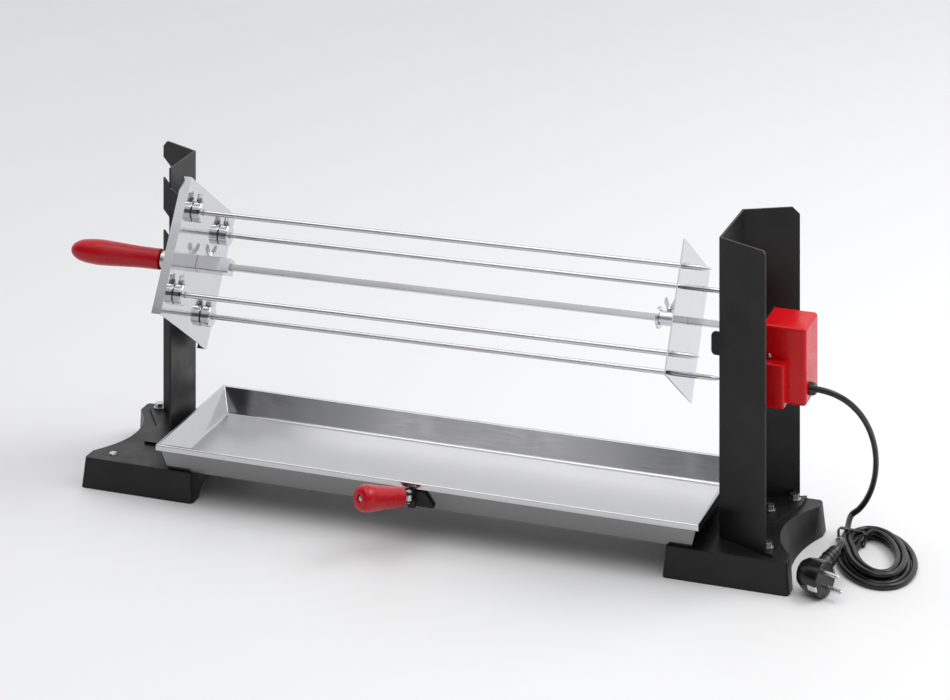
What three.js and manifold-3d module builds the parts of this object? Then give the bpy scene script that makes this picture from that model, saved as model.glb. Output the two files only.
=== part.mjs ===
// Motorised table-top spit rotisserie: two posts on pressed feet, a square spit carrying four
// skewers between two clamped plates, a geared drive unit hooked on the right post, a drip tray
// with a swinging handle, and a mains lead tied in a hank.
//
// Millimetres, +Z up, +X along the spit from the handle to the motor, +Y away from the user.
// While the pieces are built, X = 0 is midway between the posts, Y = 0 is the middle of the feet
// and Z = 0 is the table. The last lines centre the finished group on its own bounding box.

import * as THREE from 'three';
import { RoundedBoxGeometry } from 'three/addons/geometries/RoundedBoxGeometry.js';
import { mergeVertices } from 'three/addons/utils/BufferGeometryUtils.js';
import Module from 'manifold-3d';

const wasm = await Module();
wasm.setup();

// ---------------------------------------------------------------- driving dimensions

const GAP = 0.3;                    // space left between two pieces that touch

// feet
const FOOT_CENTRE_X = 347.4;
const FOOT_HALF_X = 67;
const FOOT_HALF_Y = 85.5;
const FOOT_HEIGHT = 34;
const FOOT_WALL = 3;
const FOOT_FLARE = 3;
const FOOT_WAIST_TOP = 24.5;
const FOOT_WAIST_BOTTOM = 15;
const FOOT_CORNER_LENGTH = 20;
const FOOT_EDGE = 1.5;

// posts
const POST_WEB_X = 330;             // face of each web that looks at the spit
const POST_SHEET = 2.5;
const POST_TOP = 359;
const POST_BASE_Z = FOOT_HEIGHT + GAP;
const LEFT_WEB_FRONT = -31;
const LEFT_WEB_BACK = 38;
const RIGHT_WEB_FRONT = -46;
const RIGHT_WEB_BACK = 52;
const POST_BORE_RADIUS = 11.5;       // hole in the right web for the drive socket
const LEFT_FLANGE_DEPTH = 59;
const BOLT_HOLE_RADIUS = 3.3;
const LEFT_BOLTS = [[-391, 68], [-346, 22]];
const RIGHT_BOLTS = [[387, -60], [385.5, 69], [366, 33]];
const FOOT_SCREW_SPOT = [-387, -66];
const NOTCH_PITCH = 62.5;
const NOTCH_COUNT = 2;
const NOTCH_RADIUS = 10.4;
const NOTCH_SLOPE = 0.62;           // drop of a notch for each millimetre inwards

// spit line, in its own frame: x runs along the axis, x = 0 at the right web
const SPIT_Y = 6;
const SPIT_Z = 244.8;
const SPIT_TILT = -0.0098;
const SHAFT_SIDE = 7;
const SHAFT_RIGHT_END = 10;
const JOURNAL_RADIUS = 10;
const HANDLE_RIGHT_END = -689;
const HANDLE_LENGTH = 117;
const HANDLE_TANG = 60;             // length of the shaft inside the handle
const LEFT_PLATE_X = -643;
const RIGHT_PLATE_X = -51;
const LEFT_PLATE_HALF = [75, 78];
const RIGHT_PLATE_HALF = [62, 73];
const LEFT_PLATE_FLANGE = 10;
const PLATE_SHEET = 1.5;
const PLATE_TURN = THREE.MathUtils.degToRad(-34);
const SKEWER_HALF_Y = 45;
const SKEWER_HALF_Z = 47;
const SKEWER_RADIUS = 2.9;
const SKEWER_HOLE_RADIUS = 3.5;
const WING_LEAN = THREE.MathUtils.degToRad(-12);
const COLLAR_LENGTH = 11.4;
const COLLAR_RADIUS = 12;
const COLLAR_SCREW_X = 5.8;          // from the plate side of a collar to its wing screw
const HUB_LENGTH = 41;
const HUB_HALF_SIDE = 8.5;
const RIGHT_HUB_LENGTH = 33;
const RIGHT_HUB_RADIUS = 8;
const HUB_SCREW_X = 11;             // from the plate side of the left hub to its wing screw
const TAPPED_RADIUS = 2.8;
const HUB_WING = { reach: 7, height: 13 };
const COLLAR_WING = { reach: 5.2, height: 9.5 };
const SKEWER_ENDS = [-19, -14];      // right ends of the front and rear skewers

// drive unit
const HOUSING_LEFT = 373;
const HOUSING_RIGHT = 421;
const HOUSING_FRONT = -24;
const HOUSING_BACK = 33;
const HOUSING_BOTTOM = 178;
const HOUSING_TOP = 262.4;
const HOUSING_WALL = 2.5;
const HOUSING_EDGE = 4;
const BLOCK_FRONT = -39;
const BLOCK_RIGHT = 400;
const BLOCK_TOP = 225.5;
const BLOCK_EDGE = 2.4;
const BRACKET_LEFT = POST_WEB_X + POST_SHEET + GAP;
const BRACKET_SHEET = 2;
const END_PLATE_RIGHT = HOUSING_LEFT - GAP;
const HOOK_OFFSETS = [SPIT_Y - 18, SPIT_Y + 18];
const HOOK_SHEET = 3;
const HOOK_LEFT = 312;
const HOOK_BOTTOM = 218;
const HOOK_TOP = 243.5;
const HOOK_DROP = 9;
const TOOTH_MODULE = 1;
const WHEEL_TEETH = 24;
const PINION_TEETH = 10;
const GEAR_DISTANCE = TOOTH_MODULE * (WHEEL_TEETH + PINION_TEETH) / 2;
const GEAR_START = 48.4;             // from the right web to the output gear
const GEAR_PLATE_LEFT = POST_WEB_X + GEAR_START + 9.6;
const GEAR_PLATE_SHEET = 2;
const MOTOR_RADIUS = 23.5;
const MOTOR_LENGTH = 22;
const MOTOR_Z = SPIT_Z - 2 * GEAR_DISTANCE;
const TERMINAL_LOW = [379, -35.5, 184];
const TERMINAL_HIGH = [395, -26.5, 206];
const PILLARS = [[-14, 192], [23, 252]];
const SCREW_SPOT_X = 380;
const SCREW_SPOT_Z = 229;

// drip tray
const TRAY_HALF_X = 320;
const TRAY_HALF_Y = 94;
const TRAY_TOP = 64.5;
const TRAY_FLOOR = FOOT_HEIGHT + GAP;
const TRAY_HEM = 7;
const TRAY_DRAFT = 10.5;
const TRAY_SHEET = 0.9;

// tray handle
const GRIP_LENGTH = 60;
const GRIP_TURN = THREE.MathUtils.degToRad(60);
const GRIP_RISE = THREE.MathUtils.degToRad(14);
const GRIP_PIVOT = new THREE.Vector3(-9, -101.5, 51.5);

// mains lead
const CABLE_RADIUS = 3.3;
const CABLE_SIDES = 6;
const CABLE_STEPS = 170;
const CABLE_EXIT = new THREE.Vector3(HOUSING_RIGHT, -8, 193);
const CABLE_START_X = 413.6;        // end of the lead inside the housing
const HANK_CENTRE = new THREE.Vector3(486.6, 27.3, CABLE_RADIUS);
const HANK_TURN = THREE.MathUtils.degToRad(19.6);
const HANK_HALF_WIDTH = 34;
const HANK_HALF_LENGTH = 62;
const HANK_TIE_ANGLE = THREE.MathUtils.degToRad(135);
const LANE_PITCH = 7.3;
const TIE_BAND = 1.3;
const HANK_UPPER_TURNS = 2;
const HANK_LOWER_TURNS = 3;
const PLUG_CENTRE = new THREE.Vector3(441.6, -73, 19.8);
const PLUG_TURN = THREE.MathUtils.degToRad(-21.7);
const PLUG_LEAN = THREE.MathUtils.degToRad(18);
const PLUG_RADIUS = 19;
const PLUG_FACE = 15;               // from the plug's centre to the face its pins leave
const PIN_OFFSET = 9.5;

// ---------------------------------------------------------------- materials

const COLOURS = {
  black_paint: [0x1d1d1e, 0.5, 0.2],
  stainless: [0xc9cbcd, 0.16, 1.0],
  steel: [0xb2b4b6, 0.3, 1.0],
  red_handle: [0xb3161f, 0.32, 0.0],
  red_housing: [0xb0121c, 0.22, 0.0],
  black_plastic: [0x141416, 0.35, 0.0],
  brass: [0xb58d45, 0.35, 1.0],
  white_plastic: [0xe4e2da, 0.5, 0.0],
};

function finish(name) {
  const [color, roughness, metalness] = COLOURS[name];
  return new THREE.MeshStandardMaterial({ color, roughness, metalness });
}

// ---------------------------------------------------------------- geometry helpers

// One closed skin: only positions, shared corners merged, no empty triangles.
function welded(geometry) {
  const bare = new THREE.BufferGeometry();
  bare.setAttribute('position', geometry.getAttribute('position').clone());
  if (geometry.index) bare.setIndex(geometry.index.clone());
  const merged = mergeVertices(bare, 1e-4);
  const corners = merged.index.array;
  const kept = [];
  for (let i = 0; i < corners.length; i += 3) {
    const [a, b, c] = corners.slice(i, i + 3);
    if (a !== b && b !== c && c !== a) kept.push(a, b, c);
  }
  merged.setIndex(kept);
  return merged;
}

function solidOf(geometry) {
  const skin = welded(geometry);
  const mesh = new wasm.Mesh({
    numProp: 3,
    vertProperties: new Float32Array(skin.getAttribute('position').array),
    triVerts: new Uint32Array(skin.index.array),
  });
  return new wasm.Manifold(mesh);
}

function geometryOf(solid) {
  const mesh = solid.getMesh();
  const geometry = new THREE.BufferGeometry();
  geometry.setAttribute('position', new THREE.BufferAttribute(new Float32Array(mesh.vertProperties), 3));
  geometry.setIndex(new THREE.BufferAttribute(new Uint32Array(mesh.triVerts), 1));
  return geometry;
}

function cut(geometry, tools) {
  const left = tools.reduce((solid, tool) => solid.subtract(solidOf(tool)), solidOf(geometry));
  return geometryOf(left);
}

function join(geometries) {
  const whole = geometries.slice(1).reduce((solid, g) => solid.add(solidOf(g)), solidOf(geometries[0]));
  return geometryOf(whole);
}

// Box between two corners.
function block(x0, y0, z0, x1, y1, z1) {
  const box = new THREE.BoxGeometry(x1 - x0, y1 - y0, z1 - z0);
  return box.translate((x0 + x1) / 2, (y0 + y1) / 2, (z0 + z1) / 2);
}

// Box with all its edges rounded, between two corners.
function softBox(low, high, radius) {
  const [width, depth, height] = high.map((value, i) => value - low[i]);
  const box = new RoundedBoxGeometry(width, depth, height, 2, radius);
  return box.translate((low[0] + high[0]) / 2, (low[1] + high[1]) / 2, (low[2] + high[2]) / 2);
}

// Box with its four edges along X, Y or Z rounded, between two corners.
function roundedBlock(low, high, radius, along, arc = 4) {
  const sizes = { x: high[0] - low[0], y: high[1] - low[1], z: high[2] - low[2] };
  const [width, height] = { x: [sizes.y, sizes.z], y: [sizes.x, sizes.z], z: [sizes.x, sizes.y] }[along];
  const shape = roundedRectangle(width / 2, height / 2, radius);
  const bar = extruded(shape, sizes[along], arc).translate(0, 0, -sizes[along] / 2);
  if (along === 'x') bar.rotateX(Math.PI / 2).rotateZ(Math.PI / 2);
  if (along === 'y') bar.rotateX(Math.PI / 2);
  return bar.translate((low[0] + high[0]) / 2, (low[1] + high[1]) / 2, (low[2] + high[2]) / 2);
}

function roundedRectangle(halfWidth, halfHeight, radius) {
  const shape = new THREE.Shape();
  shape.moveTo(radius - halfWidth, -halfHeight);
  shape.lineTo(halfWidth - radius, -halfHeight);
  shape.absarc(halfWidth - radius, radius - halfHeight, radius, -Math.PI / 2, 0);
  shape.absarc(halfWidth - radius, halfHeight - radius, radius, 0, Math.PI / 2);
  shape.absarc(radius - halfWidth, halfHeight - radius, radius, Math.PI / 2, Math.PI);
  shape.absarc(radius - halfWidth, radius - halfHeight, radius, Math.PI, Math.PI * 1.5);
  return shape;
}

function polygon(points) {
  return new THREE.Shape(points.map(([x, y]) => new THREE.Vector2(x, y)));
}

function extruded(shape, depth, arc = 4) {
  return new THREE.ExtrudeGeometry(shape, { depth, bevelEnabled: false, curveSegments: arc });
}

// Round bar from x0 to x1 about the X axis.
function rodX(radius, x0, x1, sides = 20) {
  const rod = new THREE.CylinderGeometry(radius, radius, x1 - x0, sides);
  return rod.rotateZ(-Math.PI / 2).translate((x0 + x1) / 2, 0, 0);
}

function rodY(radius, y0, y1, sides = 16) {
  return new THREE.CylinderGeometry(radius, radius, y1 - y0, sides).translate(0, (y0 + y1) / 2, 0);
}

function rodZ(radius, z0, z1, sides = 16) {
  const rod = new THREE.CylinderGeometry(radius, radius, z1 - z0, sides);
  return rod.rotateX(Math.PI / 2).translate(0, 0, (z0 + z1) / 2);
}

// Turned piece about the X axis: profile points are [x, radius].
function turnedX(profile, sides = 24) {
  const points = profile.map(([x, radius]) => new THREE.Vector2(radius, x));
  return new THREE.LatheGeometry(points, sides).rotateZ(-Math.PI / 2);
}

function turnedZ(profile, sides = 24) {
  const points = profile.map(([z, radius]) => new THREE.Vector2(radius, z));
  return new THREE.LatheGeometry(points, sides).rotateX(Math.PI / 2);
}

// Turns a sheet drawn in X-Y into one across the X axis, its back at x.
function acrossX(geometry, x) {
  return geometry.rotateX(Math.PI / 2).rotateZ(Math.PI / 2).translate(x, 0, 0);
}

// Closed skin through rings of equal length, anticlockwise from above; the first ring is closed
// by a face looking down and the last by a face looking up.
function ringSolid(rings) {
  const count = rings[0].length;
  const position = rings.flat().flatMap((p) => [p.x, p.y, p.z]);
  const index = [];
  for (let ring = 0; ring + 1 < rings.length; ring += 1) {
    for (let i = 0; i < count; i += 1) {
      const next = (i + 1) % count;
      const a = ring * count;
      const b = a + count;
      index.push(a + i, a + next, b + next, a + i, b + next, b + i);
    }
  }
  const flat = (ring) => ring.map((p) => new THREE.Vector2(p.x, p.y));
  const last = (rings.length - 1) * count;
  for (const [a, b, c] of THREE.ShapeUtils.triangulateShape(flat(rings[0]), [])) index.push(a, c, b);
  for (const [a, b, c] of THREE.ShapeUtils.triangulateShape(flat(rings.at(-1)), [])) {
    index.push(last + a, last + b, last + c);
  }
  const geometry = new THREE.BufferGeometry();
  geometry.setAttribute('position', new THREE.Float32BufferAttribute(position, 3));
  geometry.setIndex(index);
  return geometry;
}

function rectangleRing(halfX, halfY, z) {
  const corners = [[-1, -1], [1, -1], [1, 1], [-1, 1]];
  return corners.map(([sx, sy]) => new THREE.Vector3(sx * halfX, sy * halfY, z));
}

// Outline of bent sheet: a polyline thickened to its left-hand side, with mitred bends.
function sheetSection(points, thickness) {
  const line = points.map(([x, y]) => new THREE.Vector2(x, y));
  const normals = line.slice(1).map((p, i) => {
    const along = p.clone().sub(line[i]).normalize();
    return new THREE.Vector2(-along.y, along.x);
  });
  const outer = line.map((p, i) => {
    const before = normals[Math.max(i - 1, 0)];
    const after = normals[Math.min(i, normals.length - 1)];
    const mitre = before.clone().add(after).normalize();
    return p.clone().addScaledVector(mitre, thickness / mitre.dot(after));
  });
  return new THREE.Shape([...line, ...outer.reverse()]);
}

function smoothstep(low, high, value) {
  return THREE.MathUtils.smoothstep(value, low, high);
}

// ---------------------------------------------------------------- assembly helpers

const grill = new THREE.Group();

function put(parent, name, geometry, materialName) {
  const mesh = new THREE.Mesh(welded(geometry), finish(materialName));
  mesh.name = name;
  parent.add(mesh);
  return mesh;
}

function frameAt(parent, position, rotation = [0, 0, 0]) {
  const group = new THREE.Group();
  group.position.copy(position);
  group.rotation.set(...rotation);
  parent.add(group);
  return group;
}

// ---------------------------------------------------------------- feet

// Plan of a foot: square ends joined by two sides that curve in to a waist.
function footRing(inset, waist, z) {
  const halfX = FOOT_HALF_X - inset;
  const halfY = FOOT_HALF_Y - inset;
  const straight = halfY - FOOT_CORNER_LENGTH;
  const corner = 4;
  const side = [];
  const steps = 10;
  const nick = corner * 0.3;
  side.push([halfX - corner, -halfY], [halfX - nick, -halfY + nick], [halfX, -halfY + corner]);
  for (let i = 0; i <= steps; i += 1) {
    const across = 2 * i / steps - 1;
    side.push([halfX - waist * (1 - across * across), across * straight]);
  }
  side.push([halfX, halfY - corner], [halfX - nick, halfY - nick], [halfX - corner, halfY]);
  const mirrored = side.map(([x, y]) => [-x, -y]);
  return [...side, ...mirrored].map(([x, y]) => new THREE.Vector3(x, y, z));
}

function footShell() {
  const ceiling = FOOT_HEIGHT - FOOT_WALL;
  const rings = [
    footRing(FOOT_WALL, FOOT_WAIST_TOP, ceiling),
    footRing(FOOT_WALL - FOOT_FLARE, FOOT_WAIST_BOTTOM, 0),
    footRing(-FOOT_FLARE, FOOT_WAIST_BOTTOM, 0),
    footRing(-FOOT_FLARE, FOOT_WAIST_BOTTOM, 1),
    footRing(0, FOOT_WAIST_TOP, FOOT_HEIGHT - FOOT_EDGE),
    footRing(FOOT_EDGE * 0.3, FOOT_WAIST_TOP, FOOT_HEIGHT - FOOT_EDGE * 0.3),
    footRing(FOOT_EDGE, FOOT_WAIST_TOP, FOOT_HEIGHT),
  ];
  return ringSolid(rings);
}

function boltHole([x, y]) {
  return rodZ(BOLT_HOLE_RADIUS, -1, FOOT_HEIGHT + 20, 12).translate(x, y, 0);
}

function makeFeet() {
  const left = footShell().translate(-FOOT_CENTRE_X, 0, 0);
  const right = footShell().translate(FOOT_CENTRE_X, 0, 0);
  put(grill, 'left_foot', cut(left, [...LEFT_BOLTS, FOOT_SCREW_SPOT].map(boltHole)), 'black_paint');
  put(grill, 'right_foot', cut(right, RIGHT_BOLTS.map(boltHole)), 'black_paint');
}

// ---------------------------------------------------------------- posts

// Cutter for one spit notch: a round seat joined to the free edge by a slot that rises outwards.
// It is drawn with the seat at the origin, the free edge towards -x, and the sheet across z.
function notchCutter(reach, radius) {
  const rise = Math.atan(NOTCH_SLOPE);
  const shape = new THREE.Shape();
  shape.absarc(0, 0, radius, -Math.PI / 2 - rise, Math.PI / 2 - rise);
  const length = reach * 1.6;
  const [dx, dy] = [-Math.cos(rise) * length, Math.sin(rise) * length];
  shape.lineTo(Math.sin(rise) * radius + dx, Math.cos(rise) * radius + dy);
  shape.lineTo(-Math.sin(rise) * radius + dx, -Math.cos(rise) * radius + dy);
  return extruded(shape, 40, 8).translate(0, 0, -20);
}

// Web notch: sheet lies across X, free edge towards -Y.
function webNotch(seatY, seatZ) {
  const cutter = notchCutter(seatY - LEFT_WEB_FRONT, NOTCH_RADIUS);
  cutter.rotateX(Math.PI / 2).rotateZ(Math.PI / 2);
  return cutter.translate(-POST_WEB_X, seatY, seatZ);
}

// Flange notch: seat just inside the sheet, free edge outwards along the flange.
function flangeNotch(edge, along, seatZ) {
  const depth = 26;
  const turn = Math.atan2(-along.y, -along.x);
  const cutter = notchCutter(depth, NOTCH_RADIUS).rotateX(Math.PI / 2).rotateZ(turn);
  return cutter.translate(edge.x - along.x * depth, edge.y - along.y * depth, seatZ);
}

// Prism that takes a square top corner off a flange.
function cornerCutter(edge, along, size) {
  const wedge = extruded(polygon([[-size, 1], [1, 1], [1, -size]]), 30).translate(0, 0, -15);
  wedge.rotateX(Math.PI / 2).rotateZ(Math.atan2(along.y, along.x));
  return wedge.translate(edge.x, edge.y, POST_TOP);
}

function makeLeftPost() {
  const bend = new THREE.Vector2(-POST_WEB_X, LEFT_WEB_BACK);
  const along = new THREE.Vector2(-53, 27).normalize();
  const edge = bend.clone().addScaledVector(along, LEFT_FLANGE_DEPTH);
  const line = [[-POST_WEB_X, LEFT_WEB_FRONT], [bend.x, bend.y], [edge.x, edge.y]];
  const height = POST_TOP - POST_BASE_Z;
  const sheet = extruded(sheetSection(line, POST_SHEET), height).translate(0, 0, POST_BASE_Z);
  const inner = -POST_WEB_X - 1;
  const base = polygon([[inner, LEFT_WEB_FRONT + 4], [inner, LEFT_WEB_BACK], [-380, 64], [-396, 82],
    [-403, 66], [-372, 20], [-366, LEFT_WEB_FRONT + 4]]);
  const plate = extruded(base, POST_SHEET).translate(0, 0, POST_BASE_Z);
  const tools = [cornerCutter(edge, along, 8), ...LEFT_BOLTS.map(boltHole)];
  const seatZ = SPIT_Z + Math.sin(SPIT_TILT) * 2 * POST_WEB_X;
  for (let i = 0; i < NOTCH_COUNT; i += 1) {
    tools.push(webNotch(SPIT_Y, seatZ + i * NOTCH_PITCH));
    tools.push(flangeNotch(edge, along, seatZ + 10 + i * NOTCH_PITCH));
  }
  put(grill, 'left_post', cut(join([sheet, plate]), tools), 'black_paint');
}

function makeRightPost() {
  const along = new THREE.Vector2(58, 31).normalize();
  const rearEdge = new THREE.Vector2(POST_WEB_X + 57.5, RIGHT_WEB_BACK + 31);
  const frontEdge = new THREE.Vector2(POST_WEB_X + 58, RIGHT_WEB_FRONT - 28);
  const frontAlong = new THREE.Vector2(58, -28).normalize();
  const line = [[rearEdge.x, rearEdge.y], [POST_WEB_X, RIGHT_WEB_BACK], [POST_WEB_X, RIGHT_WEB_FRONT],
    [frontEdge.x, frontEdge.y]];
  const height = POST_TOP - POST_BASE_Z;
  const sheet = extruded(sheetSection(line, POST_SHEET), height).translate(0, 0, POST_BASE_Z);
  const inner = POST_WEB_X + 1;
  const base = polygon([[inner, RIGHT_WEB_FRONT], [397, -77], [399, -48], [378, 0], [396, 58],
    [396, 84], [inner, RIGHT_WEB_BACK]]);
  const plate = extruded(base, POST_SHEET).translate(0, 0, POST_BASE_Z);
  const shaftHole = rodX(POST_BORE_RADIUS, POST_WEB_X - 5, POST_WEB_X + 8);
  shaftHole.translate(0, SPIT_Y, SPIT_Z);
  const slots = HOOK_OFFSETS.map((y) => block(
    POST_WEB_X - 5, y - HOOK_SHEET / 2 - 1, HOOK_BOTTOM + HOOK_DROP - GAP,
    POST_WEB_X + 8, y + HOOK_SHEET / 2 + 1, HOOK_TOP + HOOK_DROP + 2));
  const tools = [shaftHole, ...slots, cornerCutter(rearEdge, along, 9),
    cornerCutter(frontEdge, frontAlong, 4), ...RIGHT_BOLTS.map(boltHole)];
  put(grill, 'right_post', cut(join([sheet, plate]), tools), 'black_paint');
}

// Hexagon bolt through a post base and a foot; its nut end is inside the foot.
function postBolt() {
  const washer = turnedZ([[0, 0], [0, 7], [1.2, 7], [1.2, 0]], 16);
  const head = rodZ(5.6, 1, 6.2, 6);
  const shank = rodZ(2.9, -9, 1.1, 12);
  return join([washer, head, shank]);
}

function makeBolts() {
  const top = POST_BASE_Z + POST_SHEET + GAP;
  [...LEFT_BOLTS, ...RIGHT_BOLTS].forEach(([x, y], i) => {
    put(grill, `post_bolt_${i + 1}`, postBolt().translate(x, y, top), 'steel');
  });
  const profile = [[-5, 0], [-5, 2.9], [GAP, 2.9], [GAP, 4.8], [1.4, 4.2], [2.2, 2.6], [2.5, 0]];
  const dome = turnedZ(profile, 16).translate(...FOOT_SCREW_SPOT, FOOT_HEIGHT);
  put(grill, 'foot_screw', dome, 'steel');
}

// ---------------------------------------------------------------- drive unit

// Hook lug in the X-Z plane: it drops behind the lower edge of its slot in the web.
function hookLug(y) {
  const inside = POST_WEB_X - GAP;
  const root = BRACKET_LEFT + 1;
  const radius = 5;
  const shape = new THREE.Shape();
  shape.moveTo(root, HOOK_TOP);
  shape.lineTo(HOOK_LEFT + radius, HOOK_TOP);
  shape.absarc(HOOK_LEFT + radius, HOOK_TOP - radius, radius, Math.PI / 2, Math.PI);
  shape.lineTo(HOOK_LEFT, HOOK_BOTTOM + radius);
  shape.absarc(HOOK_LEFT + radius, HOOK_BOTTOM + radius, radius, Math.PI, Math.PI * 1.5);
  shape.lineTo(inside, HOOK_BOTTOM);
  shape.lineTo(inside, HOOK_BOTTOM + HOOK_DROP);
  shape.lineTo(root, HOOK_BOTTOM + HOOK_DROP);
  return extruded(shape, HOOK_SHEET).rotateX(Math.PI / 2).translate(0, y + HOOK_SHEET / 2, 0);
}

// Two upright plates joined by two arms: one hooks on the web, the other closes the housing.
function makeBracket() {
  const wall = HOUSING_WALL + GAP;
  const front = HOUSING_FRONT + wall;
  const back = HOUSING_BACK - wall;
  const webPlateRight = BRACKET_LEFT + BRACKET_SHEET;
  const endLeft = END_PLATE_RIGHT - BRACKET_SHEET;
  const bottom = HOUSING_BOTTOM;
  const webPlate = block(BRACKET_LEFT, front, bottom + 16, webPlateRight, back, HOUSING_TOP);
  const endPlate = block(endLeft, HOUSING_FRONT, bottom, END_PLATE_RIGHT, HOUSING_BACK, HOUSING_TOP);
  const blockPlate = block(endLeft, BLOCK_FRONT, bottom, END_PLATE_RIGHT, HOUSING_FRONT + 1, BLOCK_TOP);
  const sides = [front, back - BRACKET_SHEET];
  const arms = sides.map((y) => block(
    webPlateRight - 1, y, SCREW_SPOT_Z - 24, endLeft + 1, y + BRACKET_SHEET, SCREW_SPOT_Z + 24));
  const ears = sides.map((y) => block(
    END_PLATE_RIGHT - 1, y, SCREW_SPOT_Z - 6, SCREW_SPOT_X + 5, y + BRACKET_SHEET, SCREW_SPOT_Z + 6));
  const plates = [webPlate, endPlate, blockPlate];
  const bore = rodX(9.8, BRACKET_LEFT - 2, HOUSING_LEFT).translate(0, SPIT_Y, SPIT_Z);
  const screwHole = rodY(1.8, front - 3, back + 3, 10).translate(SCREW_SPOT_X, 0, SCREW_SPOT_Z);
  const whole = join([...plates, ...arms, ...ears, ...HOOK_OFFSETS.map(hookLug)]);
  put(grill, 'motor_bracket', cut(whole, [bore, screwHole]), 'black_paint');
}

// Rounded box open on its left side, which is cut square at the housing's left end.
function housingBox(inset, front, back, top, right, edge) {
  const low = [HOUSING_LEFT - 2 * HOUSING_EDGE, front + inset, HOUSING_BOTTOM + inset];
  return softBox(low, [right - inset, back - inset, top - inset], edge);
}

function makeHousing() {
  const wall = HOUSING_WALL;
  const blockBack = HOUSING_FRONT + 8;
  const main = [HOUSING_FRONT, HOUSING_BACK, HOUSING_TOP, HOUSING_RIGHT];
  const lower = [BLOCK_FRONT, blockBack, BLOCK_TOP, BLOCK_RIGHT];
  const shell = join([housingBox(0, ...main, HOUSING_EDGE), housingBox(0, ...lower, BLOCK_EDGE)]);
  const far = HOUSING_LEFT - 30;
  const leftOfBox = block(
    far, BLOCK_FRONT - 5, HOUSING_BOTTOM - 5, HOUSING_LEFT, HOUSING_BACK + 5, HOUSING_TOP + 5);
  const room = housingBox(wall, ...main, 1.6);
  const lowerRoom = block(far, BLOCK_FRONT + wall, HOUSING_BOTTOM + wall, BLOCK_RIGHT - wall, blockBack,
    BLOCK_TOP - wall);
  const cableHole = rodX(5, HOUSING_RIGHT - 8, HOUSING_RIGHT + 4, 16);
  cableHole.translate(0, CABLE_EXIT.y, CABLE_EXIT.z);
  const screwHole = rodY(1.8, HOUSING_FRONT - 3, HOUSING_BACK + 3, 10);
  screwHole.translate(SCREW_SPOT_X, 0, SCREW_SPOT_Z);
  const tools = [leftOfBox, room, lowerRoom, cableHole, screwHole];
  put(grill, 'motor_housing', cut(shell, tools), 'red_housing');
}

function makeHousingScrews() {
  const profile = [[-9, 0], [-9, 1.4], [GAP, 1.4], [GAP, 3.2], [1.3, 3], [2.2, 1.8], [2.4, 0]];
  const screw = turnedZ(profile, 12);
  const front = screw.clone().rotateX(Math.PI / 2).translate(SCREW_SPOT_X, HOUSING_FRONT, SCREW_SPOT_Z);
  const rear = screw.clone().rotateX(-Math.PI / 2).translate(SCREW_SPOT_X, HOUSING_BACK, SCREW_SPOT_Z);
  put(grill, 'housing_screw_1', front, 'steel');
  put(grill, 'housing_screw_2', rear, 'steel');
}

// Outline of a gear: each tooth is a trapezium between root and tip circles.
function gearShape(teeth, phase) {
  const pitch = TOOTH_MODULE * teeth / 2;
  const root = pitch - 1.2 * TOOTH_MODULE;
  const tip = pitch + 0.8 * TOOTH_MODULE;
  const step = 2 * Math.PI / teeth;
  const rootHalf = 0.27;
  const tipHalf = 0.11;
  const points = [];
  for (let i = 0; i < teeth; i += 1) {
    const centre = phase + i * step;
    for (const [radius, turn] of [[root, -rootHalf], [tip, -tipHalf], [tip, tipHalf], [root, rootHalf]]) {
      const angle = centre + turn * step;
      points.push(new THREE.Vector2(radius * Math.cos(angle), radius * Math.sin(angle)));
    }
  }
  return new THREE.Shape(points);
}

// Gear about the X axis; phase is measured from +Y towards +Z.
function gearX(teeth, phase, x0, x1) {
  return acrossX(extruded(gearShape(teeth, phase), x1 - x0), x0);
}

function makeMotor() {
  const right = GEAR_PLATE_LEFT + GEAR_PLATE_SHEET;
  const plate = block(GEAR_PLATE_LEFT, -18, 184, right, 27, 257);
  const holes = [
    rodX(3.6, GEAR_PLATE_LEFT - 2, right + 2).translate(0, SPIT_Y, SPIT_Z),
    rodX(4.2, GEAR_PLATE_LEFT - 2, right + 2).translate(0, SPIT_Y, MOTOR_Z),
  ];
  put(grill, 'gear_plate', cut(plate, holes), 'steel');
  PILLARS.forEach(([y, z], i) => {
    const pillar = rodX(2.5, END_PLATE_RIGHT + GAP, GEAR_PLATE_LEFT - GAP, 12);
    put(grill, `gear_pillar_${i + 1}`, pillar.translate(0, y, z), 'steel');
  });
  const start = right + GAP;
  const end = start + MOTOR_LENGTH;
  const can = turnedX([[start, 0], [start, MOTOR_RADIUS - 1], [start + 1, MOTOR_RADIUS],
    [end - 2, MOTOR_RADIUS], [end, MOTOR_RADIUS - 2], [end, 0]], 24);
  put(grill, 'motor_can', can.translate(0, SPIT_Y, MOTOR_Z), 'steel');
  const terminal = roundedBlock(TERMINAL_LOW, TERMINAL_HIGH, 1.5, 'x', 2);
  put(grill, 'terminal_block', terminal, 'white_plastic');
}

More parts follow.
